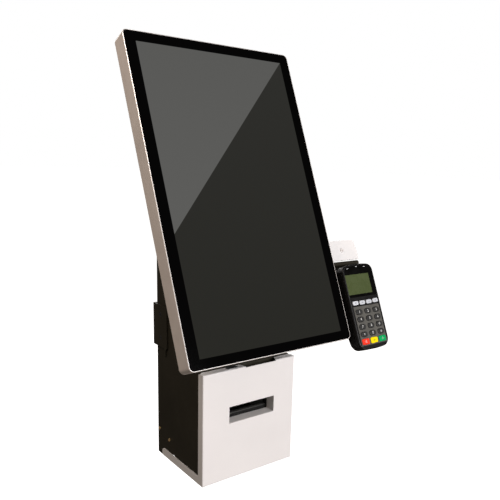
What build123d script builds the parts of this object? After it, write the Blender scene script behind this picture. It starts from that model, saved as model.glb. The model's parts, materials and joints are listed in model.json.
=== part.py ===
from build123d import *
import math
import os

# Wall-hung self-service kiosk: portrait touch display on a tilt hinge, steel
# column, receipt printer box with a drop-down front cover, and a payment
# terminal on a side arm.
#
# Frame: origin at the centre of the wall bolt pattern on the wall plane.
# +X to the right seen from the front, +Y into the wall, +Z up. Millimetres.

os.makedirs("parts", exist_ok=True)

# ---------------------------------------------------------------- dimensions
SHEET = 1.5                    # sheet steel of the body and the cover

# printer box
BOX_W = 180.0                  # width over the white cover
BOX_FRONT = -161.0             # front face of the cover
BOX_BOTTOM = -235.0
BOX_TOP = -47.0
BODY_REAR = -8.0               # rear face of the black body
BODY_HALF = 89.0               # black side plate, outer face
LIP = 14.0                     # side, top and bottom returns of the cover
COVER_GAP = 1.2                # shadow gap between cover lips and side plates

# column behind the display
COL_FRONT = -78.0
COL_TOP = 245.0

# receipt recess in the cover
REC_X0, REC_X1 = -41.0, 48.0
REC_Z0, REC_Z1 = -137.5, -109.5
REC_DEPTH = 20.0
REC_C = (REC_X0 + REC_X1) / 2

# finger notch in the cover's top return
NOTCH_X0, NOTCH_X1 = -10.0, 50.0

# drop-down hinge of the cover
HINGE_Y, HINGE_Z = -31.0, -228.0
HINGE_R = 2.0

# wall bracket
WALL_T = 3.0
WALL_DX, WALL_DZ = 120.0, 170.0
WALL_HOLE_R = 3.5
CHEEK_X0, CHEEK_X1 = 89.5, 92.0
CHEEK_Z0, CHEEK_Z1 = -36.5, 36.0
CHEEK_Y = -47.0

# display, in its own plane: u across, v up its face, w back from the glass
DISP_W, DISP_H, DISP_T = 306.0, 510.0, 31.0
DISP_TILT = 23.2
DISP_Y0, DISP_Z0 = -232.0, -8.0
DISP_R = 8.0
GLASS_T = 3.3
RIM = 1.1
PANEL_W, PANEL_H, PANEL_T = 292.2, 495.6, 10.1
PIVOT_V, PIVOT_W = 245.0, 51.0
PIVOT_R = 4.0
VESA = 100.0

# payment terminal, in the display's u, v, w
PAD_U = 212.5
PAD_HALF = 36.5
PAD_V0, PAD_V1 = -25.5, 126.5
PAD_W = 8.0                    # front face
PAD_SEAM = 16.0
PAD_REAR = 40.5
KEY_TRAVEL = 1.2
KEY_PROUD = 1.4
KEY_GAP = 0.35
NUM_U = (192.0, 212.8, 233.4)
NUM_V = (41.2, 28.3, 15.1, 2.0)
NUM_SIZE = (15.4, 8.8)
FUN_U = (188.3, 204.5, 220.6, 236.6)
FUN_V = 57.0
FUN_SIZE = (13.4, 7.0)
COL_U = (191.8, 212.3, 232.8)
COL_V = -10.8
COL_SIZE = (17.0, 10.0)

# printer
PLATEN_Y, PLATEN_Z, PLATEN_R = -118.0, -122.0, 6.0
ROLL_Y, ROLL_Z, ROLL_R, ROLL_W = -95.0, -184.0, 29.0, 80.0
SPINDLE_R = 7.95
CORE_R = 8.0


# ------------------------------------------------------------------- helpers
def box(x0, x1, y0, y1, z0, z1):
    return Pos((x0 + x1) / 2, (y0 + y1) / 2, (z0 + z1) / 2) * Box(
        abs(x1 - x0), abs(y1 - y0), abs(z1 - z0))


def cyl_x(x0, x1, y, z, r):
    return Pos((x0 + x1) / 2, y, z) * Rot(0, 90, 0) * Cylinder(r, abs(x1 - x0))


def cyl_y(x, y0, y1, z, r):
    return Pos(x, (y0 + y1) / 2, z) * Rot(90, 0, 0) * Cylinder(r, abs(y1 - y0))


def cyl_z(x, y, z0, z1, r):
    return Pos(x, y, (z0 + z1) / 2) * Cylinder(r, abs(z1 - z0))


def prism_yz(pts, x0, x1):
    face = make_face(Polyline(*[(a, b) for a, b in pts], close=True))
    return Pos(x0, 0, 0) * extrude(Plane.YZ * face, amount=x1 - x0)


def prism_xz(pts, y0, y1):
    face = make_face(Polyline(*[(a, b) for a, b in pts], close=True))
    return Pos(0, y0, 0) * extrude(Plane.XZ * face, amount=-(y1 - y0))


def prism_xy(pts, z0, z1):
    face = make_face(Polyline(*[(a, b) for a, b in pts], close=True))
    return Pos(0, 0, z0) * extrude(Plane.XY * face, amount=z1 - z0)


def rounded(u0, u1, v0, v1, w0, w1, r):
    """Rounded rectangle in the XZ plane, from y = w0 to y = w1."""
    face = Pos((u0 + u1) / 2, (v0 + v1) / 2) * RectangleRounded(u1 - u0, v1 - v0, r)
    return Pos(0, w0, 0) * extrude(Plane.XZ * face, amount=-(w1 - w0))


def slot_xz(u, v, length, height, w0, w1):
    face = Pos(u, v) * SlotOverall(length, height)
    return Pos(0, w0, 0) * extrude(Plane.XZ * face, amount=-(w1 - w0))


def at_display(shape):
    return Pos(0, DISP_Y0, DISP_Z0) * Rot(-DISP_TILT, 0, 0) * shape


def mirror_x(shape):
    return mirror(shape, about=Plane.YZ)


def solids(shape):
    return list(shape.solids())


def write(name, *shapes):
    found = []
    for s in shapes:
        found += solids(s)
    out = found[0] if len(found) == 1 else Compound(children=found)
    out.label = name
    export_step(out, "parts/" + name + ".step")


def edges_at(shape, **where):
    """Edges whose centre lies within 0.01 of each named coordinate."""
    keep = []
    for e in shape.edges():
        c = e.center()
        if all(abs(getattr(c, k) - v) < 0.01 for k, v in where.items()):
            keep.append(e)
    return keep


half = BOX_W / 2

# -------------------------------------------------------------- wall bracket
plate = box(-80, 80, -WALL_T, 0, -110, 110)
plate = fillet([e for e in plate.edges().filter_by(Axis.Y)], 8)
plate += box(-CHEEK_X1, CHEEK_X1, -WALL_T, 0, CHEEK_Z0, CHEEK_Z1)
cheek = prism_yz([(0, CHEEK_Z0 + 4), (-4, CHEEK_Z0), (CHEEK_Y + 2, CHEEK_Z0),
                  (CHEEK_Y, CHEEK_Z0 + 2), (CHEEK_Y, CHEEK_Z1 - 3),
                  (CHEEK_Y + 3, CHEEK_Z1), (-2, CHEEK_Z1), (0, CHEEK_Z1 - 2)],
                 CHEEK_X0, CHEEK_X1)
cheek += prism_yz([(-42, CHEEK_Z0 + 1), (-42, CHEEK_Z0 - 11), (-41, CHEEK_Z0 - 12.5),
                   (-39, CHEEK_Z0 - 12.5), (-38, CHEEK_Z0 - 11), (-38, CHEEK_Z0 + 1)],
                  CHEEK_X0, CHEEK_X1)
for z in (-20, 20):
    cheek -= cyl_x(CHEEK_X0 - 1, CHEEK_X1 + 1, -25, z, 2.7)
    cheek -= cyl_x(CHEEK_X1 - 1.6, CHEEK_X1 + 1, -25, z, 4.4)
wall_bracket = plate + cheek + mirror_x(cheek)
for x in (-WALL_DX / 2, WALL_DX / 2):
    for z in (-WALL_DZ / 2, WALL_DZ / 2):
        wall_bracket -= cyl_y(x, -WALL_T - 1, 1, z, WALL_HOLE_R)
wall_bracket -= rounded(-36, 36, -70, 70, -WALL_T - 1, 1, 10)
write("wall_bracket", wall_bracket)

screws = []
for z in (-20, 20):
    s = cyl_x(CHEEK_X1 - 1.55, CHEEK_X1 - 0.05, -25, z, 4.1)
    s += cyl_x(83.4, CHEEK_X1 - 1.0, -25, z, 2.4)
    s -= Pos(CHEEK_X1 - 0.5, -25, z) * Rot(0, 90, 0) * extrude(
        RegularPolygon(1.5, 6), amount=1.0, both=True)
    screws += [s, mirror_x(s)]
write("wall_bracket_screws", *screws)

# --------------------------------------------------------------- side plates
SEAM = [(BODY_REAR, -198.6), (-53.0, -208.0)]
side = prism_yz([(BOX_FRONT + LIP + COVER_GAP, BOX_BOTTOM + LIP + COVER_GAP),
                 (BOX_FRONT + LIP + COVER_GAP, BOX_TOP), (COL_FRONT, BOX_TOP),
                 (COL_FRONT, COL_TOP), (BODY_REAR, COL_TOP),
                 (SEAM[0][0], SEAM[0][1] + 0.3), (SEAM[1][0] - 0.4, SEAM[1][1] + 0.3),
                 (SEAM[1][0] - 0.4, BOX_BOTTOM + LIP + COVER_GAP)],
                BODY_HALF - SHEET, BODY_HALF)
side = fillet([e for e in side.edges().filter_by(Axis.X)
               if abs(e.center().Z - COL_TOP) < 0.01], 3)
for z in (-20, 20):
    side += cyl_x(83.0, BODY_HALF - SHEET, -25, z, 4.6)
    side -= cyl_x(82, 91, -25, z, 2.42)
SCREW_YZ = [(-13.8, -189.2), (-49.4, -197.5)]
for y, z in SCREW_YZ:
    side -= cyl_x(86, 91, y, z, 1.6)
write("side_plate_right", side)
write("side_plate_left", mirror_x(side))

# ---------------------------------------------------- folded box top + column
XI = 87.3
shell = box(-XI, XI, -145.4, COL_FRONT + SHEET, BOX_TOP - SHEET, BOX_TOP)
shell += box(-XI, XI, -145.4, -143.9, -67, BOX_TOP)
shell += box(-XI, XI, COL_FRONT, COL_FRONT + SHEET, BOX_TOP - SHEET, COL_TOP)
shell += box(-XI, XI, COL_FRONT, -9.8, COL_TOP - SHEET, COL_TOP)
shell = fillet([e for e in shell.edges().filter_by(Axis.X)
                if abs(e.center().Y - COL_FRONT) < 0.01 and abs(e.center().Z - COL_TOP) < 0.01], 1.2)
shell -= rounded(-24, 24, 96, 128, COL_FRONT - 1, COL_FRONT + 3, 8)
for i in range(9):
    shell -= slot_xz(0, 20 + i * 7.0, 96, 3.0, COL_FRONT - 1, COL_FRONT + 3)
shell -= box(-41.5, -23.5, -146, -143, -62, -49.5)
write("upper_shell", shell)

# ---------------------------------------------------------------- rear panel
XR = BODY_HALF - SHEET
rear = box(-XR, XR, -9.5, BODY_REAR, -178, COL_TOP - SHEET - 0.3)
rear += box(-82.2, 82.2, -9.5, BODY_REAR, -217.8, -178)
for x in (-WALL_DX / 2, WALL_DX / 2):
    for z in (-WALL_DZ / 2, WALL_DZ / 2):
        rear -= cyl_y(x, -11, -7, z, 7.0)
CABLE_Z, CABLE_R = -128.0, 16.0
rear -= cyl_y(0, -11, -7, CABLE_Z, CABLE_R)
for i in range(10):
    rear -= slot_xz(0, 130 + i * 8.0, 90, 3.5, -11, -7)
write("rear_panel", rear)

# ------------------------------------------------------ cover feet and hinge
RELIEF = cyl_x(85.6, 95, HINGE_Y, HINGE_Z, 7.9)
foot = prism_yz([(-9.8, -234.2), (-9.8, -181), (-58, -189), (-58, -219.6), (-45, -232),
                 (-25, -234.2)], 82.6, 85.6)
layer_b = prism_yz([(BODY_REAR, -235), (BODY_REAR, -181), (-58, -189), (-58, -219.4),
                    (-31, -219.4), (-22.8, -228), (-22.8, -235)], 85.6, 87.5)
layer_c = prism_yz([(BODY_REAR, -235), (BODY_REAR, SEAM[0][1] - 0.3),
                    (SEAM[1][0], SEAM[1][1] - 0.3), (SEAM[1][0], -219.8),
                    (-31, -219.8), (-22.8, -228), (-22.8, -235)], 87.5, BODY_HALF)
foot = foot + (layer_b - RELIEF) + (layer_c - RELIEF)
foot -= cyl_x(80, 86.5, HINGE_Y, HINGE_Z, HINGE_R)
for y, z in SCREW_YZ:
    foot -= cyl_x(82, 90, y, z, 1.52)
write("foot_bracket_right", foot)
write("foot_bracket_left", mirror_x(foot))

pins = []
p = cyl_x(82.6, 88.3, HINGE_Y, HINGE_Z, HINGE_R) + cyl_x(81.1, 82.6, HINGE_Y, HINGE_Z, 3.4)
pins += [p, mirror_x(p)]
write("cover_hinge_pins", *pins)

brass = []
for y, z in SCREW_YZ:
    s = cyl_x(82.9, BODY_HALF, y, z, 1.5) + cyl_x(BODY_HALF, BODY_HALF + 1.3, y, z, 2.7)
    s = fillet([e for e in s.edges().filter_by(GeomType.CIRCLE)
                if abs(e.center().X - BODY_HALF - 1.3) < 0.01], 0.9)
    s -= box(BODY_HALF + 0.8, BODY_HALF + 2, y - 0.35, y + 0.35, z - 1.7, z + 1.7)
    s -= box(BODY_HALF + 0.8, BODY_HALF + 2, y - 1.7, y + 1.7, z - 0.35, z + 0.35)
    brass += [s, mirror_x(s)]
write("side_screws", *brass)

# ----------------------------------------------------------------- base plate
base = box(-XI, XI, -146, -62, -219.5, -218)
base += box(-82.2, 82.2, -62, -9.8, -219.5, -218)
base += box(-XI, XI, -146, -144.5, -218, -196)
for sx in (-1, 1):
    base += box(sx * 85.8, sx * XI, -144.5, -62, -218, -204)
base = base + box(-20, 20, -60, -58.5, -218, -212)
for i in range(8):
    base -= cyl_z(-63 + i * 18, -52, -221, -216, 3.5)
write("base_plate", base)

# ---------------------------------------------------------------- front cover
REAR_END = HINGE_Y + 7.0
outer = box(-half, half, BOX_FRONT, BOX_FRONT + LIP, BOX_BOTTOM, BOX_TOP)
outer += box(-half, half, BOX_FRONT, REAR_END, BOX_BOTTOM, BOX_BOTTOM + LIP)
outer = fillet([e for e in outer.edges()
                if abs(e.center().Y - BOX_FRONT) < 0.01], 2.0)
outer = fillet([e for e in outer.edges().filter_by(Axis.Y)
                if abs(e.center().Z - BOX_BOTTOM) < 0.01 and abs(abs(e.center().X) - half) < 0.01], 1.2)
inner = box(-half + SHEET, half - SHEET, BOX_FRONT + SHEET, BOX_FRONT + LIP + 1,
            BOX_BOTTOM + SHEET, BOX_TOP - SHEET)
inner += box(-half + SHEET, half - SHEET, BOX_FRONT + SHEET, REAR_END + 1,
             BOX_BOTTOM + SHEET, BOX_BOTTOM + LIP + 1)
inner = fillet([e for e in inner.edges().filter_by(Axis.Z)
                if abs(e.center().Y - BOX_FRONT - SHEET) < 0.01], 0.6)
cover = outer - inner
cover -= box(-half + SHEET, half - SHEET, -46, REAR_END + 1, BOX_BOTTOM - 1, BOX_BOTTOM + SHEET + 1)
# rear ends of the side strips are round about the hinge pin
strip_cut = box(86.0, 91, HINGE_Y, REAR_END + 1, BOX_BOTTOM - 1, BOX_BOTTOM + LIP + 1)
strip_cut -= cyl_x(80, 92, HINGE_Y, HINGE_Z, 7.0)
lug = box(86.0, half - SHEET, HINGE_Y - 9, HINGE_Y, BOX_BOTTOM + 0.6, BOX_BOTTOM + LIP)
lug += cyl_x(86.0, half - SHEET, HINGE_Y, HINGE_Z, 7.0)
cover = cover - strip_cut - mirror_x(strip_cut) + lug + mirror_x(lug)
bore = cyl_x(84, 88.7, HINGE_Y, HINGE_Z, HINGE_R + 0.06)
cover = cover - bore - mirror_x(bore)
# receipt recess and finger notch
cover -= box(REC_X0, REC_X1, BOX_FRONT - 1, BOX_FRONT + 4, REC_Z0, REC_Z1)
cover -= prism_xy([(NOTCH_X0, BOX_FRONT - 1), (NOTCH_X1, BOX_FRONT - 1),
                   (NOTCH_X1, BOX_FRONT + 1.4), (NOTCH_X1 + 7, BOX_FRONT + LIP + 1),
                   (NOTCH_X0 - 6, BOX_FRONT + LIP + 1), (NOTCH_X0, BOX_FRONT + 1.4)],
                  BOX_TOP - SHEET - 0.1, BOX_TOP + 1)
# clipped rear corners of the top return
for sx in (-1, 1):
    cover -= prism_xy([(sx * (half + 1), BOX_FRONT + LIP - 5), (sx * (half + 1), BOX_FRONT + LIP + 1),
                       (sx * (half - 6), BOX_FRONT + LIP + 1)], BOX_TOP - SHEET - 0.1, BOX_TOP + 1)
write("front_cover", cover)

chute = box(REC_X0 - 1.2, REC_X1 + 1.2, BOX_FRONT + SHEET, BOX_FRONT + REC_DEPTH,
            REC_Z0 - 1.2, REC_Z1 + 1.2)
chute += box(REC_X0 - 8, REC_X1 + 8, BOX_FRONT + SHEET, BOX_FRONT + SHEET + 1.2,
             REC_Z0 - 8, REC_Z1 + 8)
chute -= box(REC_X0, REC_X1, BOX_FRONT, BOX_FRONT + REC_DEPTH + 1, REC_Z0, REC_Z1)
write("receipt_chute", chute)

clip = box(-42, -23, BOX_FRONT + 3.5, -146.2, BOX_TOP, BOX_TOP + 0.7)
clip += box(-42, -23, -146.9, -146.2, -52.7, BOX_TOP + 0.7)
clip += box(-40, -25, -146.9, -137, -52.7, -52.0)
clip += cyl_x(-40, -25, -139, -52.4, 1.0)
write("catch_clip", clip)

# ---------------------------------------------------------------- tilt hinge
PY = DISP_Y0 + PIVOT_V * math.sin(math.radians(DISP_TILT)) + PIVOT_W * math.cos(math.radians(DISP_TILT))
PZ = DISP_Z0 + PIVOT_V * math.cos(math.radians(DISP_TILT)) - PIVOT_W * math.sin(math.radians(DISP_TILT))
print("tilt pivot y, z:", round(PY, 3), round(PZ, 3))
tb = box(-42, 42, COL_FRONT - 3, COL_FRONT, PZ - 45, PZ + 43)
for sx in (-1, 1):
    ear = prism_yz([(COL_FRONT - 1, PZ - 24), (COL_FRONT - 1, PZ + 24), (PY, PZ + 9), (PY, PZ - 9)],
                   sx * 39 if sx > 0 else -42, 42 if sx > 0 else -39)
    ear += cyl_x(sx * 39, sx * 42, PY, PZ, 9)
    tb += ear
tb -= cyl_x(-50, 50, PY, PZ, PIVOT_R)
for x in (-25, 25):
    for dz in (-34, 33):
        tb -= cyl_y(x, COL_FRONT - 4, COL_FRONT + 0.01, PZ + dz, 2.6)
write("tilt_bracket", tb)

bolt = cyl_x(-46.0, 52.0, PY, PZ, PIVOT_R)
bolt += Pos(-49.0, PY, PZ) * Rot(0, 90, 0) * extrude(RegularPolygon(7.0, 6), amount=3.0, both=True)
nut = Pos(49.0, PY, PZ) * Rot(0, 90, 0) * extrude(RegularPolygon(7.0, 6), amount=3.0, both=True)
nut -= cyl_x(40, 60, PY, PZ, PIVOT_R)
bolt = fillet([e for e in bolt.edges().filter_by(GeomType.CIRCLE) if abs(e.center().X - 52) < 0.01], 0.8)
write("tilt_pin", bolt, nut)

# ------------------------------------------------------------------- display
u = DISP_W / 2
frame = rounded(-u, u, 0, DISP_H, 0, DISP_T, DISP_R)
frame = chamfer([e for e in frame.edges() if abs(e.center().Y - 0) < 0.01], 0.7)
frame = chamfer([e for e in frame.edges() if abs(e.center().Y - DISP_T) < 0.01], 1.0)
frame -= rounded(-u + RIM, u - RIM, RIM, DISP_H - RIM, -1, GLASS_T + 0.3, DISP_R - RIM)
frame -= rounded(-u + 6, u - 6, 6, DISP_H - 6, -1, DISP_T + 1, 2)
frame -= rounded(-u + 2, u - 2, 2, DISP_H - 2, GLASS_T + 1.9, DISP_T + 1, DISP_R - 2)
write("display_frame", at_display(frame))

glass = rounded(-u + RIM + 0.15, u - RIM - 0.15, RIM + 0.15, DISP_H - RIM - 0.15,
                0.3, GLASS_T + 0.3, DISP_R - RIM - 0.15)
glass = chamfer([e for e in glass.edges() if abs(e.center().Y - 0.3) < 0.01], 0.3)
write("touch_glass", at_display(glass))

panel = box(-PANEL_W / 2, PANEL_W / 2, GLASS_T + 0.4, GLASS_T + 0.4 + PANEL_T,
            6.4, 6.4 + PANEL_H)
for sx in (-1, 1):
    for v in (60, 255, 450):
        panel += box(sx * 146.1, sx * 150.4, 10.2, 11.6, v - 9, v + 9)
write("lcd_panel", at_display(panel))

WB = GLASS_T + 0.4 + PANEL_T
board = box(-80, 80, WB + 5.2, WB + 6.8, 70, 170)
for x in (-74, 74):
    for v in (76, 164):
        board += cyl_y(x, WB, WB + 5.2, v, 3)
board += box(-30, 6, WB + 6.8, WB + 11.8, 105, 141) + box(30, 62, WB + 6.8, WB + 9.8, 96, 120)
board += box(-70, -48, WB + 6.8, WB + 10.8, 84, 150) + box(-40, 40, WB + 6.8, WB + 12.8, 70, 80)
for x in (22, 36, 50, 64):
    board += cyl_y(x, WB + 6.8, WB + 13, 152, 5)
write("display_board", at_display(board))

cover_r = rounded(-u + 2.2, u - 2.2, 2.2, DISP_H - 2.2, DISP_T - 1.2, DISP_T, DISP_R - 2.2)
ring = rounded(-u + 2.2, u - 2.2, 2.2, DISP_H - 2.2, DISP_T - 12, DISP_T - 1.2, DISP_R - 2.2)
ring -= rounded(-u + 3.4, u - 3.4, 3.4, DISP_H - 3.4, DISP_T - 13, DISP_T, DISP_R - 3.4)
cover_r += ring
for i in range(16):
    cover_r -= Pos(-112.5 + i * 15, DISP_T - 4, 440) * extrude(
        Plane.XZ * (Rot(0, 0, 90) * SlotOverall(40, 3.2)), amount=-6)
    cover_r -= Pos(-112.5 + i * 15, DISP_T - 4, 55) * extrude(Plane.XZ * (Rot(0, 0, 90) * SlotOverall(30, 3.2)), amount=-6)
cover_r -= rounded(-22, 22, 96, 122, DISP_T - 4, DISP_T + 1, 8)
for x in (-VESA / 2, VESA / 2):
    for v in (PIVOT_V - VESA / 2, PIVOT_V + VESA / 2):
        cover_r -= cyl_y(x, DISP_T - 3, DISP_T + 1, v, 2.02)
ARM_SCREWS = [(76, 132), (76, 178), (128, 132), (128, 178)]
for x, v in ARM_SCREWS:
    cover_r -= cyl_y(x, DISP_T - 3, DISP_T + 1, v, 2.02)
write("display_rear_cover", at_display(cover_r))

W0 = DISP_T
vesa = rounded(-60, 60, PIVOT_V - 60, PIVOT_V + 60, W0, W0 + 3, 8)
vesa -= rounded(-32, 32, PIVOT_V - 32, PIVOT_V + 32, W0 - 1, W0 + 4, 6)
for sx in (-1, 1):
    ear = Pos(sx * 44 - 1.5, 0, 0) * extrude(Plane.YZ * make_face(Polyline(
        (W0 + 1, PIVOT_V - 26), (W0 + 1, PIVOT_V + 26), (PIVOT_W, PIVOT_V + 9),
        (PIVOT_W, PIVOT_V - 9), close=True)), amount=3)
    ear += cyl_x(sx * 44 - 1.5, sx * 44 + 1.5, PIVOT_W, PIVOT_V, 9)
    vesa += ear
vesa -= cyl_x(-60, 60, PIVOT_W, PIVOT_V, PIVOT_R + 0.05)
for x in (-VESA / 2, VESA / 2):
    for v in (PIVOT_V - VESA / 2, PIVOT_V + VESA / 2):
        vesa -= cyl_y(x, W0 - 1, W0 + 4, v, 2.2)
write("vesa_plate", at_display(vesa))

ARM_T = 3.0
m4 = []
for x, v, t in ([(x, v, 3.0) for x in (-VESA / 2, VESA / 2)
                 for v in (PIVOT_V - VESA / 2, PIVOT_V + VESA / 2)]
                + [(x, v, ARM_T) for x, v in ARM_SCREWS]):
    s = cyl_y(x, W0 - 4, W0 + t, v, 2.0) + cyl_y(x, W0 + t, W0 + t + 2.4, v, 3.8)
    s = fillet([e for e in s.edges().filter_by(GeomType.CIRCLE)
                if abs(e.center().Y - (W0 + t + 2.4)) < 0.01], 1.2)
    s -= Pos(x, W0 + t + 2.4, v) * Rot(90, 0, 0) * extrude(RegularPolygon(1.4, 6), amount=1.3, both=True)
    m4.append(s)
s = cyl_y(207.0, W0 - 2.2, W0, 157.0, 3.8) + cyl_y(207.0, W0 - 0.5, W0 + 6.0, 157.0, 2.0)
s = fillet([e for e in s.edges().filter_by(GeomType.CIRCLE)
            if abs(e.center().Y - (W0 - 2.2)) < 0.01], 1.2)
s -= Pos(207.0, W0 - 2.2, 157.0) * Rot(90, 0, 0) * extrude(RegularPolygon(1.4, 6), amount=1.3, both=True)
m4.append(s)
write("display_screws", at_display(Compound(children=[k for s in m4 for k in solids(s)])))

# ------------------------------------------------ side arm for the terminal
HV, HW = 133.5, 38.8
arm = Pos(0, W0, 0) * extrude(Plane.XZ * make_face(Polyline(
    (60, 118), (60, 192), (140, 192), (158, 175.5), (240.5, 175.5), (245.5, 139.0),
    (158, 139.0), (140, 118), close=True)), amount=-ARM_T)
arm = fillet([e for e in arm.edges().filter_by(Axis.Y) if e.center().X > 200], 2.5)
arm += box(158, 181.5, W0 + ARM_T - 0.5, HW, HV, 146)
arm += cyl_x(158, 181.5, HW, HV, 4.6)
arm -= cyl_x(150, 183, HW, HV, 2.5)
for x, v in ARM_SCREWS:
    arm -= cyl_y(x, W0 - 1, W0 + 4, v, 2.2)
arm -= cyl_y(207.0, W0 - 1, W0 + 5, 157.0, 2.02)
write("terminal_arm", at_display(arm))

pin = cyl_x(156.0, 246.3, HW, HV, 2.5) + cyl_x(154.6, 157.6, HW, HV, 3.8)

# ------------------------------------------------------------ payment terminal
cu, hw = PAD_U, PAD_HALF


def pad_outline(d=0.0):
    """Outline of the terminal, inset by d, as a face on the XZ plane."""
    l, r = cu - hw + d, cu + hw - d
    t, b = PAD_V1 - d, PAD_V0 + d
    face = make_face([
        Line((l, b + 3), (l, t - 3)),
        ThreePointArc((l, t - 3), (cu, t), (r, t - 3)),
        Line((r, t - 3), (r, b + 3)),
        ThreePointArc((r, b + 3), (cu, b), (l, b + 3)),
    ])
    top = [p for p in face.vertices() if p.Y > 50]
    face = fillet(top, 13.0 - d)
    low = sorted(face.vertices(), key=lambda p: p.Y)[:2]
    return fillet(low, 15.0 - d)


def pad_prism(d, w0, w1):
    return Pos(0, w0, 0) * extrude(Plane.XZ * pad_outline(d), amount=-(w1 - w0))


def taper(shift):
    """Wedge that trims the lower rear of the terminal."""
    face = make_face(Polyline((PAD_REAR + shift, 48), (27.0 + shift, -27 - 4), (60, -31), (60, 48), close=True))
    return Pos(cu - 50, 0, 0) * extrude(Plane.YZ * face, amount=100)


rear_s = pad_prism(0, PAD_SEAM, PAD_REAR)
rear_s = fillet([e for e in rear_s.edges() if abs(e.center().Y - PAD_REAR) < 0.01], 2.5)
rear_s -= taper(0)
rear_s -= (pad_prism(2.0, PAD_SEAM - 1, PAD_REAR - 2.0) - taper(-2.0))
rear_s -= box(cu - 28, cu + 28, 20.0, 22.0, PAD_V0 - 2, PAD_V0 + 8)
for x in (cu - 22, cu + 22):
    for v in (58, 104):
        rear_s -= cyl_y(x, PAD_REAR - 3, PAD_REAR + 1, v, 1.52)
write("terminal_rear_shell", at_display(rear_s))

front_s = pad_prism(0, PAD_W, PAD_SEAM)
front_s = fillet([e for e in front_s.edges() if abs(e.center().Y - PAD_W) < 0.01], 2.2)
front_s -= pad_prism(2.0, PAD_W + 2.0, PAD_SEAM + 1)
LENS_V = 67.5
lens_zone = pad_prism(3.2, PAD_W - 1, PAD_W + 1.0) & box(cu - 60, cu + 60, 0, 20, LENS_V, 140)
front_s -= lens_zone
LCD = (178.6, 235.6, 72.5, 107.8)
front_s -= box(LCD[0] - 0.2, LCD[1] + 0.2, PAD_W - 1, PAD_W + 3, LCD[2] - 0.2, LCD[3] + 0.2)


def key_face(kind, grow=0.0):
    w, h = {"num": NUM_SIZE, "fun": FUN_SIZE, "col": COL_SIZE}[kind]
    w, h = w + 2 * grow, h + 2 * grow
    if kind == "num":
        return RectangleRounded(w, h, h / 2 - 0.3)
    if kind == "fun":
        return RectangleRounded(w, h, h / 2 - 0.8)
    return RectangleRounded(w, h, 2.2 + grow)


def key_prism(kind, x, v, w0, w1, grow=0.0):
    return Pos(0, w0, 0) * extrude(Plane.XZ * (Pos(x, v) * key_face(kind, grow)), amount=-(w1 - w0))


KEYS = []
labels = ["key_1", "key_2", "key_3", "key_4", "key_5", "key_6", "key_7", "key_8", "key_9",
          "key_star", "key_0", "key_hash"]
for i, n in enumerate(labels):
    KEYS.append((n, "num", NUM_U[i % 3], NUM_V[i // 3]))
for i, n in enumerate(["key_function_1", "key_function_2", "key_function_3", "key_function_4"]):
    KEYS.append((n, "fun", FUN_U[i], FUN_V + (0.4 if i in (0, 3) else 0.0)))
for i, n in enumerate(["key_cancel_red", "key_clear_yellow", "key_enter_green"]):
    KEYS.append((n, "col", COL_U[i], COL_V))

for n, kind, x, v in KEYS:
    front_s -= key_prism(kind, x, v, PAD_W - 1, PAD_W + 4, KEY_GAP)
write("terminal_front_shell", at_display(front_s))

for n, kind, x, v in KEYS:
    cap = key_prism(kind, x, v, PAD_W - KEY_PROUD, PAD_W + 2.4)
    cap = fillet([e for e in cap.edges() if abs(e.center().Y - (PAD_W - KEY_PROUD)) < 0.01], 0.9)
    cap += key_prism(kind, x, v, PAD_W + 2.4, PAD_W + 3.4, 0.9)
    write(n, at_display(cap))

lens = pad_prism(3.35, PAD_W - 0.1, PAD_W + 1.0) & box(cu - 60, cu + 60, 0, 20, LENS_V + 0.15, 140)
lens -= box(LCD[0] - 0.2, LCD[1] + 0.2, PAD_W - 1, PAD_W + 3, LCD[2] - 0.2, LCD[3] + 0.2)
write("terminal_lens", at_display(lens))

lcd = box(LCD[0], LCD[1], PAD_W + 0.3, PAD_W + 3.0, LCD[2], LCD[3])
lcd += box(LCD[0] - 0.2, LCD[1] + 1.5, PAD_W + 2.3, PAD_W + 5.0, LCD[2] - 2.5, LCD[3] + 4)
write("terminal_lcd", at_display(lcd))

tboard = box(cu - 32, cu + 32, PAD_W + 5.2, PAD_W + 6.8, -17, 117)
for n, kind, x, v in KEYS:
    tboard += cyl_y(x, PAD_W + 4.95, PAD_W + 5.2, v, 2.6)
tboard += box(cu - 20, cu + 12, PAD_W + 6.8, PAD_W + 12, 60, 96) + box(cu - 24, cu + 24, PAD_W + 6.8, PAD_W + 13, 10, 46)
for x, v in ((cu - 31, 22), (cu + 31, 22), (cu - 24, 115), (cu + 24, 115)):
    tboard += cyl_y(x, PAD_W + 2.0, PAD_W + 5.2, v, 1.2)
write("terminal_board", at_display(tboard))

cradle = cyl_x(182.0, 245.6, HW, HV, 4.6)
cradle += box(186, 239, PAD_REAR, PAD_REAR + 2.0, 34, HV)
cradle = fillet([e for e in cradle.edges().filter_by(Axis.Y)
                 if abs(e.center().Z - 34) < 0.01], 6)
cradle -= cyl_x(180, 250, HW, HV, 2.55)
cradle -= rounded(cu - 14, cu + 14, 66, 96, PAD_REAR - 1, PAD_REAR + 3, 5)
for x in (cu - 22, cu + 22):
    for v in (58, 104):
        s = cyl_y(x, PAD_REAR - 3.0, PAD_REAR + 2.0, v, 1.5)
        cradle -= cyl_y(x, PAD_REAR - 1, PAD_REAR + 3, v, 1.7)
write("terminal_cradle", at_display(cradle))
write("terminal_hinge_pin", at_display(pin))

# ------------------------------------------------------------- receipt printer
PX0, PX1 = -44.0, 51.0
bez = box(PX0, PX1, -139.0, -133.0, -142.0, -105.0)
bez -= box(-39, 46, -140, -132, -131.6, -112.0)
bez -= prism_yz([(-140, -105.8), (-139.0, -105.8), (-133, -112.01), (-140, -112.01)], -39, 46)
write("printer_bezel", bez)

tear = box(-39, 46, -139.9, -139.0, -136.5, -131.9)
tear += box(-39, 46, -139.9, -134.0, -131.6, -131.0) + box(-39, 46, -139.9, -139.0, -132, -131.0)
write("tear_bar", tear)

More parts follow.
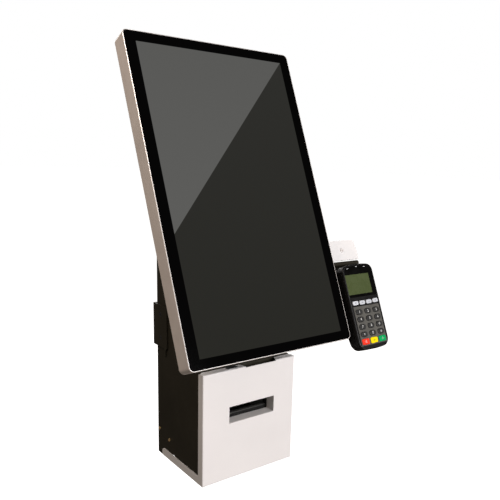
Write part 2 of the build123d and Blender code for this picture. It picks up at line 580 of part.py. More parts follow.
pf = box(PX0, PX0 + 2, -132.9, -68, -150.0, -96.0) + box(PX1 - 2, PX1, -132.9, -68, -150.0, -96.0)
pf += box(PX0, PX1, -100, -68, -98.0, -96.0) + box(PX0, PX1, -104, -98, -150.0, -148.0)
pf += box(PX0 - 36, PX0, -112, -92, -150, -148) + box(PX1, PX1 + 29, -112, -92, -150, -148)
pf += box(-XI, -XI + 2, -112, -92, -150, -132) + box(XI - 2, XI, -112, -92, -150, -132)
pf += box(-XI, PX0 - 36, -112, -92, -150, -148) + box(PX1 + 29, XI, -112, -92, -150, -148)
pf -= cyl_x(PX0 - 1, PX1 + 1, PLATEN_Y, PLATEN_Z, 2.55)
write("printer_frame", pf)

platen = cyl_x(-40, 47, PLATEN_Y, PLATEN_Z, PLATEN_R)
platen += cyl_x(PX0 - 4, PX1 + 4, PLATEN_Y, PLATEN_Z, 2.5)
knob = cyl_x(PX1 + 1.5, PX1 + 8, PLATEN_Y, PLATEN_Z, 8)
for i in range(16):
    a = i * math.pi / 8
    knob -= cyl_x(PX1 + 1, PX1 + 9, PLATEN_Y + 8.4 * math.cos(a), PLATEN_Z + 8.4 * math.sin(a), 1.0)
platen += knob
write("platen_roller", platen)

head = box(-40, 47, -124, -104, -115.5, -113.5) + box(-40, 47, -116, -104, -113.5, -104)
for i in range(5):
    head -= box(-41, 48, -115.0 + i * 2.2, -113.9 + i * 2.2, -111, -103)
head += box(PX0 + 2, -40, -112, -106, -115.5, -108) + box(47, PX1 - 2, -112, -106, -115.5, -108)
write("print_head", head)

# ------------------------------------------------------------ paper and bucket
BX0, BX1 = REC_C - ROLL_W / 2 - 1.5, REC_C + ROLL_W / 2 + 1.5
tub = cyl_x(BX0 - 2, BX1 + 2, ROLL_Y, ROLL_Z, 33.5) - cyl_x(BX0, BX1, ROLL_Y, ROLL_Z, 31.5)
tub = tub & box(BX0 - 2, BX1 + 2, -132, -58, -220, ROLL_Z)
for x0, x1 in ((BX0 - 2, BX0), (BX1, BX1 + 2)):
    tub += box(x0, x1, ROLL_Y - 14, ROLL_Y + 14, ROLL_Z - 10, ROLL_Z + 14)
tub += box(BX0 - 2, BX1 + 2, ROLL_Y - 20, ROLL_Y + 20, -218, -214.5) - cyl_x(BX0, BX1, ROLL_Y, ROLL_Z, 31.5)
for x0, x1 in ((BX0 - 3, BX0 + 1), (BX1 - 1, BX1 + 3)):
    tub -= cyl_x(x0, x1, ROLL_Y, ROLL_Z, 5.0)
    tub -= box(x0, x1, ROLL_Y - 5.0, ROLL_Y + 5.0, ROLL_Z, ROLL_Z + 20)
write("paper_bucket", tub)

spindle = cyl_x(BX0 + 0.4, BX1 - 0.4, ROLL_Y, ROLL_Z, SPINDLE_R)
spindle += cyl_x(BX0 - 3.5, BX1 + 3.5, ROLL_Y, ROLL_Z, 5.0)
write("roll_spindle", spindle)

roll = cyl_x(REC_C - ROLL_W / 2, REC_C + ROLL_W / 2, ROLL_Y, ROLL_Z, ROLL_R)
roll -= cyl_x(-60, 60, ROLL_Y, ROLL_Z, CORE_R)
write("paper_roll", roll)

# ------------------------------------------------------------- electronics
pc = box(-62, 62, -20.6, -19.0, -18, 118)
for x in (-56, 56):
    for z in (-12, 112):
        pc += cyl_y(x, -19.0, -9.5, z, 3)
pc += box(-24, 22, -44, -20.6, 30, 76)
for i in range(7):
    pc -= box(-20.5 + i * 6.4, -17.3 + i * 6.4, -45, -25, 29, 77)
pc += box(-58, -40, -34, -20.6, -14, 30) + box(-34, 40, -33, -20.6, -18, -4) + box(34, 38, -26, -20.6, 20, 100)
pc += box(46, 50, -26, -20.6, 20, 100)
write("control_board", pc)

psu = box(-70, 70, -56, -12, -217.9, -160)
psu = fillet([e for e in psu.edges().filter_by(Axis.X)], 1.5)
for i in range(12):
    psu -= box(-58 + i * 10, -54 + i * 10, -50, -18, -162, -159)
psu += box(70, 74, -48, -24, -206, -180)
write("power_supply", psu)

print("nodes:", len([f for f in os.listdir("parts") if f.endswith(".step")]))
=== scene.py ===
import bpy, bmesh, json, math
from mathutils import Matrix, Vector


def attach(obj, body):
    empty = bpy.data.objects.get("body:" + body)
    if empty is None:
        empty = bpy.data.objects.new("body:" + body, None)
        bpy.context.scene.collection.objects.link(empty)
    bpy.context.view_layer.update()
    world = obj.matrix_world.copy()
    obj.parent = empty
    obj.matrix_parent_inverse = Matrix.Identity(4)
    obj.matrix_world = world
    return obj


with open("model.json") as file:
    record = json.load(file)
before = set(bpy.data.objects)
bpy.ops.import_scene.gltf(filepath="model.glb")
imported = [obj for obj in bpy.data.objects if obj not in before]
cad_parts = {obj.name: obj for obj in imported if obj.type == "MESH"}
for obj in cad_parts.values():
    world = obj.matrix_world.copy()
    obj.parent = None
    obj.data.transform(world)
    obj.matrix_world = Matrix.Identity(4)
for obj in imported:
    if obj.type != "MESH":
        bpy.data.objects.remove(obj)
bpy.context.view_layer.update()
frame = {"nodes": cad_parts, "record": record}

# ------------------------------------------------------------------ geometry
# Display plane: u to the right, v up its face, w back from the glass, in mm.
TILT = math.radians(23.2)
ST, CT = math.sin(TILT), math.cos(TILT)
PLANE_Y, PLANE_Z = -0.232, -0.008


def disp(u, v, w):
    return Vector((u, PLANE_Y * 1000 + v * ST + w * CT,
                   PLANE_Z * 1000 + v * CT - w * ST)) / 1000.0


def disp_matrix(u, v, w):
    m = Matrix(((1, 0, 0), (0, ST, -CT), (0, CT, ST))).to_4x4()
    m.translation = disp(u, v, w)
    return m


# ------------------------------------------------------------------ camera
az, el, ro = math.radians(39.13), math.radians(-11.78), math.radians(2.05)
fwd = Vector((math.sin(az) * math.cos(el), math.cos(az) * math.cos(el), math.sin(el)))
right = fwd.cross(Vector((0, 0, 1))).normalized()
up = right.cross(fwd)
r2 = right * math.cos(ro) + up * math.sin(ro)
u2 = up * math.cos(ro) - right * math.sin(ro)
cam = bpy.data.cameras.new("camera")
cam_ob = bpy.data.objects.new("camera", cam)
bpy.context.scene.collection.objects.link(cam_ob)
m = Matrix((r2, u2, -fwd)).transposed().to_4x4()
m.translation = Vector((-0.54475, -0.92218, 0.28459))
cam_ob.matrix_world = m
cam.sensor_width = 36.0
cam.lens = 606.91 / 500 * 36.0
cam.shift_x = -0.08
cam.shift_y = 0.068
cam.clip_start = 0.02
cam.clip_end = 60
bpy.context.scene.camera = cam_ob


# ------------------------------------------------------------------ colours
def lin(r, g, b):
    out = []
    for c in (r, g, b):
        c /= 255.0
        out.append(c / 12.92 if c <= 0.04045 else ((c + 0.055) / 1.055) ** 2.4)
    return tuple(out) + (1.0,)


def scaled(c, k):
    return (c[0] * k, c[1] * k, c[2] * k, 1.0)


# ------------------------------------------------------------------ node helper
class Mat:
    def __init__(self, name, **sockets):
        self.m = bpy.data.materials.new(name)
        self.m.use_nodes = True
        self.t = self.m.node_tree
        self.t.nodes.clear()
        self.out = self.t.nodes.new("ShaderNodeOutputMaterial")
        self.b = self.t.nodes.new("ShaderNodeBsdfPrincipled")
        self.link(self.b.outputs[0], self.out.inputs[0])
        self.tc = self.t.nodes.new("ShaderNodeTexCoord")
        self.obj = self.tc.outputs["Object"]
        for k, v in sockets.items():
            self.set(k.replace("_", " "), v)

    def set(self, name, v):
        self.b.inputs[name].default_value = v

    def link(self, a, b):
        self.t.links.new(a, b)

    def put(self, sock, v):
        if hasattr(v, "is_output"):
            self.link(v, sock)
        else:
            sock.default_value = v

    def math(self, op, a, b=0.0, clamp=False):
        n = self.t.nodes.new("ShaderNodeMath")
        n.operation = op
        n.use_clamp = clamp
        self.put(n.inputs[0], a)
        self.put(n.inputs[1], b)
        return n.outputs[0]

    def stretch(self, sx, sy, sz):
        n = self.t.nodes.new("ShaderNodeMapping")
        self.link(self.obj, n.inputs["Vector"])
        n.inputs["Scale"].default_value = (sx, sy, sz)
        return n.outputs[0]

    def noise(self, scale, detail=3.0, rough=0.55, vec=None):
        n = self.t.nodes.new("ShaderNodeTexNoise")
        self.link(vec or self.obj, n.inputs["Vector"])
        n.inputs["Scale"].default_value = scale
        n.inputs["Detail"].default_value = detail
        n.inputs["Roughness"].default_value = rough
        return n.outputs["Fac"]

    def cells(self, scale, vec=None):
        n = self.t.nodes.new("ShaderNodeTexVoronoi")
        self.link(vec or self.obj, n.inputs["Vector"])
        n.inputs["Scale"].default_value = scale
        return n.outputs["Distance"]

    def span(self, v, a, b, lo=0.0, hi=1.0):
        n = self.t.nodes.new("ShaderNodeMapRange")
        self.put(n.inputs["Value"], v)
        for k, x in (("From Min", a), ("From Max", b), ("To Min", lo), ("To Max", hi)):
            n.inputs[k].default_value = x
        return n.outputs[0]

    def mix(self, f, a, b):
        n = self.t.nodes.new("ShaderNodeMix")
        n.data_type = "RGBA"
        self.put(n.inputs[0], f)
        self.put(n.inputs[6], a)
        self.put(n.inputs[7], b)
        return n.outputs[2]

    def bump(self, h, strength=0.2, dist=0.0002, normal=None):
        n = self.t.nodes.new("ShaderNodeBump")
        n.inputs["Strength"].default_value = strength
        n.inputs["Distance"].default_value = dist
        self.link(h, n.inputs["Height"])
        if normal is not None:
            self.link(normal, n.inputs["Normal"])
        self.link(n.outputs[0], self.b.inputs["Normal"])
        return n.outputs[0]

    def edges(self, radius):
        """1 on a sharp edge, 0 on the flats."""
        bev = self.t.nodes.new("ShaderNodeBevel")
        bev.samples = 4
        bev.inputs["Radius"].default_value = radius
        geo = self.t.nodes.new("ShaderNodeNewGeometry")
        d = self.t.nodes.new("ShaderNodeVectorMath")
        d.operation = "DOT_PRODUCT"
        self.link(bev.outputs[0], d.inputs[0])
        self.link(geo.outputs["Normal"], d.inputs[1])
        return self.span(d.outputs["Value"], 0.995, 0.86)

    def uvw(self):
        s = self.t.nodes.new("ShaderNodeSeparateXYZ")
        self.link(self.obj, s.inputs[0])
        y = self.math("SUBTRACT", s.outputs[1], PLANE_Y)
        z = self.math("SUBTRACT", s.outputs[2], PLANE_Z)
        v = self.math("ADD", self.math("MULTIPLY", y, ST), self.math("MULTIPLY", z, CT))
        w = self.math("SUBTRACT", self.math("MULTIPLY", y, CT), self.math("MULTIPLY", z, ST))
        k = lambda x: self.math("MULTIPLY", x, 1000.0)
        return k(s.outputs[0]), k(v), k(w)

    def step(self, x, edge, soft=0.15):
        """0 below edge, 1 above it."""
        return self.span(x, edge - soft, edge + soft)

    def color(self, c):
        self.put(self.b.inputs["Base Color"], c)

    def rough(self, r):
        self.put(self.b.inputs["Roughness"], r)


def powder(name, base, worn, rough=0.5, grain=2600.0, strength=0.22, spec=0.4, vary=0.05, wear=0.35):
    """Powder coat: orange peel, faint cloudiness, slightly polished edges."""
    a = Mat(name, Specular_IOR_Level=spec)
    cloud = a.noise(14.0, 3, 0.6)
    tone = a.mix(a.span(cloud, 0.3, 0.7), scaled(base, 1 - vary), scaled(base, 1 + vary * 0.6))
    fleck = a.span(a.noise(900.0, 2, 0.5), 0.64, 0.72, 0.0, 0.14)
    tone = a.mix(fleck, tone, scaled(base, 0.75))
    rub = a.math("MULTIPLY", a.edges(0.0007), a.span(a.noise(120.0, 4, 0.6), 0.38, 0.62, 0.15, wear))
    a.color(a.mix(rub, tone, worn))
    r = a.span(a.noise(38.0, 4, 0.6), 0.3, 0.7, rough - 0.07, rough + 0.08)
    a.rough(a.math("SUBTRACT", r, a.math("MULTIPLY", rub, 0.2)))
    a.bump(a.math("ADD", a.noise(grain, 2, 0.5), a.math("MULTIPLY", a.noise(500.0, 2, 0.5), 0.6)), strength, 0.00006)
    return a


def moulded(name, base, rough=0.45, grain=5200.0, spec=0.45, strength=0.18, coat=0.0):
    """Moulded plastic: fine spark texture and handling sheen."""
    a = Mat(name, Specular_IOR_Level=spec, Coat_Weight=coat)
    a.color(a.mix(a.span(a.noise(60.0, 3, 0.6), 0.3, 0.7), scaled(base, 0.9), scaled(base, 1.1)))
    a.rough(a.span(a.noise(90.0, 5, 0.65), 0.3, 0.7, rough - 0.09, rough + 0.09))
    a.bump(a.cells(grain), strength, 0.00003)
    return a


def metal(name, base, rough=0.32, along=(1, 1, 1), scale=900.0, spec=0.5, metallic=1.0, strength=0.12):
    """Metal with drawn or brushed lines along the low-frequency axis."""
    a = Mat(name, Metallic=metallic, Specular_IOR_Level=spec)
    line = a.noise(scale, 3, 0.6, a.stretch(*along))
    spot = a.noise(25.0, 4, 0.6)
    a.color(a.mix(a.span(spot, 0.3, 0.7), scaled(base, 0.86), scaled(base, 1.06)))
    a.rough(a.math("ADD", a.span(line, 0.3, 0.7, rough - 0.06, rough + 0.08), a.span(spot, 0.45, 0.75, 0.0, 0.1)))
    a.bump(line, strength, 0.00004)
    return a


# ------------------------------------------------------------------ materials
M = {}
M["body_black"] = powder("black_powder_coat", (0.034, 0.030, 0.020, 1), (0.085, 0.078, 0.062, 1), rough=0.5, vary=0.14, spec=0.25)
M["cover_white"] = powder("white_powder_coat", (0.86, 0.845, 0.84, 1), (0.90, 0.89, 0.88, 1), rough=0.48, vary=0.018, spec=0.35)
M["panel_metal"] = metal("panel_tin_plate", (0.55, 0.54, 0.52, 1), 0.4, (1, 12, 1))
M["zinc_steel"] = metal("zinc_plate", (0.52, 0.53, 0.55, 1), 0.36, (8, 1, 1), 700.0)
M["black_steel"] = powder("blackened_steel", (0.030, 0.029, 0.028, 1), (0.14, 0.13, 0.12, 1), rough=0.42, grain=1800.0, vary=0.15)
M["brass_screw"] = metal("yellow_zinc_screw", (0.85, 0.62, 0.32, 1), 0.36, (1, 1, 6), 1500.0, 0.5, 0.5)
M["supply_case"] = metal("supply_case_steel", (0.46, 0.46, 0.45, 1), 0.42, (1, 1, 10))
M["black_plastic"] = moulded("black_abs", (0.007, 0.007, 0.007, 1), 0.42, 5200.0, 0.28)
M["terminal_case"] = moulded("terminal_case_abs", (0.006, 0.006, 0.006, 1), 0.34, 5200.0, 0.28)
M["key_dark"] = moulded("key_rubber_dark", (0.020, 0.021, 0.020, 1), 0.5, 3800.0)
M["key_silver"] = moulded("key_lacquer_silver", lin(214, 219, 226), 0.36, 6500.0)
M["key_red"] = moulded("key_rubber_red", (0.98, 0.050, 0.022, 1), 0.5, 3800.0, 0.1)
M["key_yellow"] = moulded("key_rubber_yellow", (0.99, 0.80, 0.002, 1), 0.5, 3800.0, 0.1)
M["key_green"] = moulded("key_rubber_green", (0.001, 0.40, 0.115, 1), 0.5, 3800.0, 0.1)
M["platen_rubber"] = moulded("platen_rubber", (0.022, 0.022, 0.024, 1), 0.7, 2400.0, 0.25, 0.3)

# Anodised aluminium: drawn lines along v; the cut chamfer beside the glass is glossier, and its near-white colour is
# partly the bare cut and partly a painted highlight.
a = Mat("anodised_aluminium", Metallic=0.2, Specular_IOR_Level=0.5)
u, v, w = a.uvw()
comb = a.t.nodes.new("ShaderNodeCombineXYZ")
a.link(a.math("MULTIPLY", u, 1.0), comb.inputs[0])
a.link(a.math("MULTIPLY", v, 0.02), comb.inputs[1])
a.link(a.math("MULTIPLY", w, 1.0), comb.inputs[2])
line = a.noise(2.6, 3, 0.6, comb.outputs[0])
# Chamfer band: lower roughness for the real cut, near-white colour as a painted highlight.
chamfer_cut_and_highlight = a.math("SUBTRACT", 1.0, a.step(w, 0.45, 0.15))
tone = a.mix(a.span(a.noise(16.0, 3, 0.6), 0.3, 0.7), (0.76, 0.69, 0.635, 1), (0.87, 0.80, 0.745, 1))
a.color(a.mix(chamfer_cut_and_highlight, tone, (0.92, 0.91, 0.90, 1)))
a.rough(a.math("SUBTRACT", a.span(line, 0.3, 0.7, 0.36, 0.5), a.math("MULTIPLY", chamfer_cut_and_highlight, 0.16)))
a.bump(line, 0.10, 0.00004)
M["frame_alu"] = a

# Front glass: black printed border, and a picture area with two grey tones.
a = Mat("front_glass", Specular_IOR_Level=0.12, Emission_Strength=1.0)
u, v, w = a.uvw()
inside = a.math("MULTIPLY",
                a.math("MULTIPLY", a.step(u, -134.05), a.math("SUBTRACT", 1.0, a.step(u, 134.05))),
                a.math("MULTIPLY", a.step(v, 15.9), a.math("SUBTRACT", 1.0, a.step(v, 492.5))))
inside = a.math("MULTIPLY", inside, a.math("SUBTRACT", 1.0, a.step(w, 0.9, 0.1)))
diag = a.step(a.math("SUBTRACT", v, a.math("ADD", 492.5, a.math("MULTIPLY", a.math("SUBTRACT", u, 134.0), 1.104))), 0.0, 0.4)
grade = a.span(v, 16.0, 492.0)
dark = a.mix(grade, lin(38, 38, 34), lin(44, 44, 41))
light = a.mix(grade, lin(96, 96, 94), lin(90, 90, 88))
pix = a.math("MULTIPLY", a.math("ABSOLUTE", a.math("SINE", a.math("MULTIPLY", u, 12.66))),
             a.math("ABSOLUTE", a.math("SINE", a.math("MULTIPLY", v, 12.66))))
lit = a.mix(diag, dark, light)
lit = a.mix(a.span(pix, 0.0, 1.0, 0.10, 0.0), lit, (0, 0, 0, 1))
a.put(a.b.inputs["Emission Color"], a.mix(inside, (0, 0, 0, 1), lit))
a.color(a.mix(inside, (0.0012, 0.0012, 0.0013, 1), (0.0035, 0.0035, 0.0035, 1)))
smear = a.noise(7.0, 5, 0.6, a.stretch(1.0, 1.0, 0.4))
a.rough(a.span(smear, 0.35, 0.75, 0.05, 0.14))
a.bump(a.noise(3.0, 1, 0.4), 0.02, 0.0004)
M["front_glass"] = a

# Terminal window lens and the display behind it.
a = Mat("terminal_window", Specular_IOR_Level=0.45)
a.color(a.mix(a.span(a.noise(60.0, 4, 0.6), 0.4, 0.7), (0.0012, 0.0012, 0.0012, 1), (0.004, 0.004, 0.004, 1)))
a.rough(a.span(a.noise(30.0, 5, 0.6), 0.35, 0.75, 0.06, 0.16))
a.bump(a.noise(14.0, 1, 0.4), 0.02, 0.0002)
M["terminal_window"] = a

a = Mat("terminal_screen", Specular_IOR_Level=0.3)
u, v, w = a.uvw()
dots = a.math("MULTIPLY", a.math("ABSOLUTE", a.math("SINE", a.math("MULTIPLY", u, 6.98))),
              a.math("ABSOLUTE", a.math("SINE", a.math("MULTIPLY", v, 6.98))))
cloud = a.span(a.noise(40.0, 3, 0.6), 0.3, 0.7)
glass = a.mix(cloud, (0.071, 0.095, 0.035, 1), (0.087, 0.112, 0.045, 1))
a.color(a.mix(a.span(dots, 0.0, 0.5, 0.18, 0.0), glass, (0.05, 0.07, 0.03, 1)))
a.rough(a.span(a.noise(80.0, 3, 0.6), 0.3, 0.7, 0.22, 0.34))
a.bump(dots, 0.05, 0.00003)
M["terminal_screen"] = a

# Front shell: black sides, grey lacquered key field below the window.
a = Mat("terminal_front_case", Specular_IOR_Level=0.28)
u, v, w = a.uvw()
half = a.math("SUBTRACT", 31.0, a.math("ABSOLUTE", a.math("SUBTRACT", u, 212.6)))
high = a.math("SUBTRACT", 51.0, v)
low = a.math("ADD", v, 17.5)
field = a.math("MULTIPLY", a.math("MULTIPLY", a.step(half, 0.0, 0.5), a.step(high, 0.0, 0.5)),
               a.math("MULTIPLY", a.step(low, 0.0, 0.5), a.math("SUBTRACT", 1.0, a.step(w, 10.2, 0.6))))
grey = a.mix(a.span(a.noise(70.0, 3, 0.6), 0.3, 0.7), (0.098, 0.097, 0.088, 1), (0.128, 0.126, 0.114, 1))
a.color(a.mix(field, (0.006, 0.006, 0.006, 1), grey))
a.rough(a.span(a.noise(90.0, 5, 0.65), 0.3, 0.7, 0.32, 0.48))
a.bump(a.cells(5200.0), 0.16, 0.00003)
FRONT_CASE = a

# Circuit board: solder mask with traces, pads and vias.
a = Mat("circuit_board", Specular_IOR_Level=0.5)
cell = a.t.nodes.new("ShaderNodeTexBrick")
a.link(a.obj, cell.inputs["Vector"])
cell.inputs["Scale"].default_value = 160.0
cell.inputs["Mortar Size"].default_value = 0.03
cell.inputs["Color1"].default_value = (0.01, 0.075, 0.03, 1)
cell.inputs["Color2"].default_value = (0.012, 0.092, 0.038, 1)
cell.inputs["Mortar"].default_value = (0.03, 0.16, 0.07, 1)
via = a.span(a.cells(420.0), 0.10, 0.13, 1.0, 0.0)
a.color(a.mix(via, cell.outputs["Color"], (0.55, 0.50, 0.36, 1)))
a.rough(a.span(a.noise(200.0, 3, 0.6), 0.3, 0.7, 0.25, 0.42))
a.bump(cell.outputs["Fac"], 0.25, 0.00005)
M["circuit_board"] = a

# Receipt paper: fibres and faint roll lines.
a = Mat("receipt_paper", Specular_IOR_Level=0.2)
fib = a.noise(1800.0, 4, 0.7, a.stretch(1, 5, 1))
a.color(a.mix(a.span(fib, 0.3, 0.7), (0.80, 0.79, 0.76, 1), (0.88, 0.87, 0.85, 1)))
a.rough(a.span(fib, 0.3, 0.7, 0.72, 0.88))
a.bump(fib, 0.3, 0.00005)
M["receipt_paper"] = a

LEGEND = moulded("legend_ink_white", lin(214, 216, 214), 0.6, 7000.0, 0.25, 0.08)
LEGEND_DARK = moulded("legend_ink_dark", (0.02, 0.02, 0.02, 1), 0.6, 7000.0, 0.25, 0.08)
MARK = moulded("indicator_diffuser", lin(196, 200, 202), 0.3, 7000.0, 0.4, 0.08)

slot_of = {}
for sp in frame["record"]["subparts"]:
    slot_of[sp["node"]] = sp.get("material_slot")


def paint(ob, mat):
    if not ob.material_slots:
        ob.data.materials.append(mat)
    for s in ob.material_slots:
        s.link = "OBJECT"
        s.material = mat


# Display screws: blackened, except the one in the arm, whose near-white colour is painted glare standing in for the
# washed-out highlight on the arm.
a = Mat("display_screw_finish_and_glare", Specular_IOR_Level=0.4)
u, v, w = a.uvw()
arm_glare_mask = a.math("MULTIPLY", a.step(u, 150.0, 0.5), a.math("SUBTRACT", 1.0, a.step(w, 33.0, 0.3)))
# Near-white on the arm screw is a painted highlight (glare), not the screw's own colour.
a.color(a.mix(arm_glare_mask, (0.03, 0.03, 0.03, 1), a.mix(a.span(a.noise(60.0, 3, 0.6), 0.3, 0.7), (0.80, 0.77, 0.75, 1), (0.86, 0.83, 0.81, 1))))
a.rough(a.span(a.noise(120.0, 4, 0.6), 0.3, 0.7, 0.38, 0.5))
a.bump(a.noise(2200.0, 2, 0.5), 0.15, 0.00004)
SCREWS = a

# Tear bar: dark blade with a bright ground edge.
a = Mat("tear_bar_steel", Metallic=0.4, Specular_IOR_Level=0.4)
sp = a.t.nodes.new("ShaderNodeSeparateXYZ")
a.link(a.obj, sp.inputs[0])
ground = a.step(sp.outputs[2], -0.1318, 0.0002)
a.color(a.mix(ground, a.mix(a.span(a.noise(90.0, 3, 0.6), 0.3, 0.7), (0.005, 0.005, 0.005, 1), (0.009, 0.009, 0.009, 1)), (0.11, 0.11, 0.105, 1)))
a.rough(a.span(a.noise(700.0, 3, 0.6, a.stretch(1, 10, 1)), 0.3, 0.7, 0.38, 0.52))
a.bump(a.noise(900.0, 2, 0.5, a.stretch(8, 1, 1)), 0.1, 0.00004)
TEAR = a

for name, ob in frame["nodes"].items():
    paint(ob, M[slot_of[name]].m)
ARM = powder("arm_gloss_white", (0.955, 0.945, 0.94, 1), (0.96, 0.95, 0.94, 1), rough=0.36, vary=0.01, spec=0.45)
paint(frame["nodes"]["terminal_arm"], ARM.m)
paint(frame["nodes"]["display_screws"], SCREWS.m)
paint(frame["nodes"]["tear_bar"], TEAR.m)
paint(frame["nodes"]["terminal_front_shell"], FRONT_CASE.m)


# ------------------------------------------------------------------ pieces
def add_piece(name, mesh, mat, body):
    ob = bpy.data.objects.new(name, mesh)
    bpy.context.scene.collection.objects.link(ob)
    mesh.materials.clear()
    mesh.materials.append(mat.m)
    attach(ob, body)
    return ob


def strokes(name, lines, w_front, width, body, mat, depth=0.06):
    """Raised printed strokes: each line is a list of (u, v) points, with round ends and joints."""
    bm = bmesh.new()

    def prism(pts):
        top = [bm.verts.new(disp(p[0], p[1], w_front - depth)) for p in pts]
        low = [bm.verts.new(disp(p[0], p[1], w_front + 0.02)) for p in pts]
        bm.faces.new(top)
        bm.faces.new(list(reversed(low)))
        n = len(pts)
        for i in range(n):
            bm.faces.new((top[i], low[i], low[(i + 1) % n], top[(i + 1) % n]))

    for pts in lines:
        for (ax, ay), (bx, by) in zip(pts[:-1], pts[1:]):
            dx, dy = bx - ax, by - ay
            ang = math.atan2(dy, dx)
            ring = []
            for i in range(7):
                t = ang - math.pi / 2 + math.pi * i / 6
                ring.append((bx + math.cos(t) * width / 2, by + math.sin(t) * width / 2))
            for i in range(7):
                t = ang + math.pi / 2 + math.pi * i / 6
                ring.append((ax + math.cos(t) * width / 2, ay + math.sin(t) * width / 2))
            prism(ring)
    bmesh.ops.recalc_face_normals(bm, faces=bm.faces)
    me = bpy.data.meshes.new(name)
    bm.to_mesh(me)
    bm.free()
    return add_piece(name, me, mat, body)


def legend(name, text, u, v, w_front, size, body, mat):
    cu = bpy.data.curves.new(name + "_src", "FONT")
    cu.body = text
    cu.align_x = "CENTER"
    cu.align_y = "CENTER"
    cu.size = size / 1000.0
    cu.extrude = 0.00004
    cu.offset = 0.00006
    src = bpy.data.objects.new(name + "_src", cu)
    bpy.context.scene.collection.objects.link(src)
    bpy.context.view_layer.update()
    me = bpy.data.meshes.new_from_object(src.evaluated_get(bpy.context.evaluated_depsgraph_get()))
    bpy.data.objects.remove(src)
    me.transform(disp_matrix(u, v, w_front - 0.03))
    me.name = name
    return add_piece(name, me, mat, body)


KEY_W = 6.6
NUM_U, NUM_V = (192.0, 212.8, 233.4), (41.2, 28.3, 15.1, 2.0)
rows = [["1", "2", "3"], ["4", "5", "6"], ["7", "8", "9"], ["star", "0", "hash"]]
for r, names in enumerate(rows):
    for c, n in enumerate(names):
        kb = "key_" + n + "_cap"
        uu, vv = NUM_U[c], NUM_V[r]
        if n == "star":
            arms = [[(uu - 1.5 * math.cos(t), vv - 1.5 * math.sin(t)), (uu + 1.5 * math.cos(t), vv + 1.5 * math.sin(t))]
                    for t in (math.radians(90), math.radians(30), math.radians(150))]
            strokes("legend_star", arms, KEY_W, 0.55, kb, LEGEND)
        elif n == "hash":
            arms = [[(uu - 0.7, vv - 1.9), (uu - 0.3, vv + 1.9)], [(uu + 0.5, vv - 1.9), (uu + 0.9, vv + 1.9)],
                    [(uu - 1.7, vv + 0.65), (uu + 1.8, vv + 0.65)], [(uu - 1.9, vv - 0.65), (uu + 1.6, vv - 0.65)]]
            strokes("legend_hash", arms, KEY_W, 0.5, kb, LEGEND)
        else:
            legend("legend_" + n, n, uu, vv, KEY_W, 6.4, kb, LEGEND)

FUN_U = (188.3, 204.5, 220.6, 236.6)
for i, uu in enumerate(FUN_U, 1):
    vv = 57.4 if i in (1, 4) else 57.0
    kb = "key_function_%d_cap" % i
    if i == 1:
        lines = [[(uu + 1.3, vv + 1.3), (uu - 1.3, vv), (uu + 1.3, vv - 1.3)]]
    elif i == 2:
        lines = [[(uu - 1.5, vv - 0.7), (uu, vv + 0.9), (uu + 1.5, vv - 0.7)]]
    elif i == 3:
        lines = [[(uu - 1.5, vv + 0.7), (uu, vv - 0.9), (uu + 1.5, vv + 0.7)]]
    else:
        lines = [[(uu - 1.3, vv + 1.3), (uu + 1.3, vv), (uu - 1.3, vv - 1.3)]]
    strokes("mark_function_%d" % i, lines, KEY_W, 0.5, kb, LEGEND_DARK)

COL_U, COL_V = (191.8, 212.3, 232.8), -10.8
uu = COL_U[0]
strokes("mark_cancel", [[(uu - 1.6, COL_V - 1.6), (uu + 1.6, COL_V + 1.6)], [(uu - 1.6, COL_V + 1.6), (uu + 1.6, COL_V - 1.6)]],
        KEY_W, 0.6, "key_cancel_red_cap", LEGEND)
uu = COL_U[1]
strokes("mark_clear", [[(uu + 1.9, COL_V), (uu - 1.9, COL_V)], [(uu - 0.4, COL_V + 1.4), (uu - 1.9, COL_V), (uu - 0.4, COL_V - 1.4)]],
        KEY_W, 0.6, "key_clear_yellow_cap", LEGEND_DARK)
uu = COL_U[2]
ring = [(uu + 1.7 * math.cos(t * math.pi / 10), COL_V + 1.7 * math.sin(t * math.pi / 10)) for t in range(21)]
strokes("mark_enter", [ring], KEY_W, 0.6, "key_enter_green_cap", LEGEND)

for i, (uu, vv) in enumerate([(188.0, 119.0), (210.0, 121.5), (229.0, 120.0)], 1):
    strokes("indicator_%d" % i, [[(uu - 1.4, vv), (uu + 1.4, vv)]], 7.9, 1.1, "terminal", MARK)

# ------------------------------------------------------------------ floor, world, lights
FLOOR_Z = -0.9
bm = bmesh.new()
bmesh.ops.create_grid(bm, x_segments=8, y_segments=8, size=40.0)
bmesh.ops.translate(bm, verts=bm.verts, vec=(0, 0, FLOOR_Z))
me = bpy.data.meshes.new("floor")
bm.to_mesh(me)
bm.free()
floor = bpy.data.objects.new("floor", me)
bpy.context.scene.collection.objects.link(floor)
a = Mat("floor_pale", Specular_IOR_Level=0.1, Emission_Strength=0.97)
a.color(a.mix(a.span(a.noise(2.0, 2, 0.5), 0.3, 0.7), (0.90, 0.90, 0.90, 1), (0.93, 0.93, 0.93, 1)))
a.set("Emission Color", (1, 1, 1, 1))
a.rough(a.span(a.noise(9.0, 2, 0.5), 0.3, 0.7, 0.85, 0.95))
me.materials.append(a.m)
floor.visible_glossy = False
floor.visible_diffuse = False

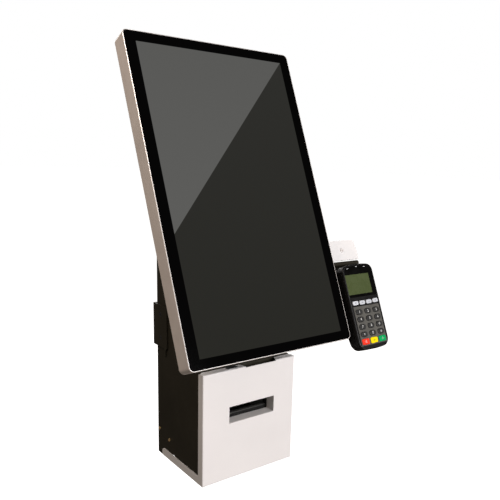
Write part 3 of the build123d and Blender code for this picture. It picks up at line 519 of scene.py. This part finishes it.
world = bpy.data.worlds.new("studio")
bpy.context.scene.world = world
world.use_nodes = True
nt = world.node_tree
nt.nodes.clear()
wo = nt.nodes.new("ShaderNodeOutputWorld")
lp = nt.nodes.new("ShaderNodeLightPath")
bg_cam = nt.nodes.new("ShaderNodeBackground")
bg_cam.inputs[0].default_value = (1, 1, 1, 1)
bg_cam.inputs[1].default_value = 1.0
bg_fill = nt.nodes.new("ShaderNodeBackground")
bg_fill.inputs[0].default_value = (1.0, 0.87, 0.74, 1)
bg_fill.inputs[1].default_value = 0.11
bg_gloss = nt.nodes.new("ShaderNodeBackground")
bg_gloss.inputs[0].default_value = (1.0, 0.9, 0.8, 1)
bg_gloss.inputs[1].default_value = 0.05
mx1 = nt.nodes.new("ShaderNodeMixShader")
mx2 = nt.nodes.new("ShaderNodeMixShader")
nt.links.new(lp.outputs["Is Glossy Ray"], mx1.inputs[0])
nt.links.new(bg_fill.outputs[0], mx1.inputs[1])
nt.links.new(bg_gloss.outputs[0], mx1.inputs[2])
nt.links.new(lp.outputs["Is Camera Ray"], mx2.inputs[0])
nt.links.new(mx1.outputs[0], mx2.inputs[1])
nt.links.new(bg_cam.outputs[0], mx2.inputs[2])
nt.links.new(mx2.outputs[0], wo.inputs[0])


def area(name, loc, target, size, watts, color=(1, 1, 1)):
    li = bpy.data.lights.new(name, "AREA")
    li.shape = "DISK"
    li.size = size
    li.energy = watts
    li.color = color
    ob = bpy.data.objects.new(name, li)
    bpy.context.scene.collection.objects.link(ob)
    ob.location = loc
    ob.rotation_euler = (Vector(target) - Vector(loc)).to_track_quat("-Z", "Y").to_euler()
    ob.visible_camera = False
    return ob


area("key", (0.55, -2.9, 0.60), (0, -0.15, 0.0), 1.5, 71, (1.0, 0.975, 0.985))
area("low_fill", (0.55, -1.2, -0.80), (0.05, -0.15, -0.20), 0.5, 2.6, (1.0, 0.80, 0.68))
area("left_fill", (-0.90, -0.35, 1.00), (-0.15, -0.05, 0.2), 0.5, 7.0, (1.0, 0.87, 0.78))
area("back_fill", (0.6, 2.6, 1.2), (0, 0, 0.0), 1.6, 30, (1.0, 0.97, 0.94))

bpy.context.scene.view_settings.view_transform = "Standard"
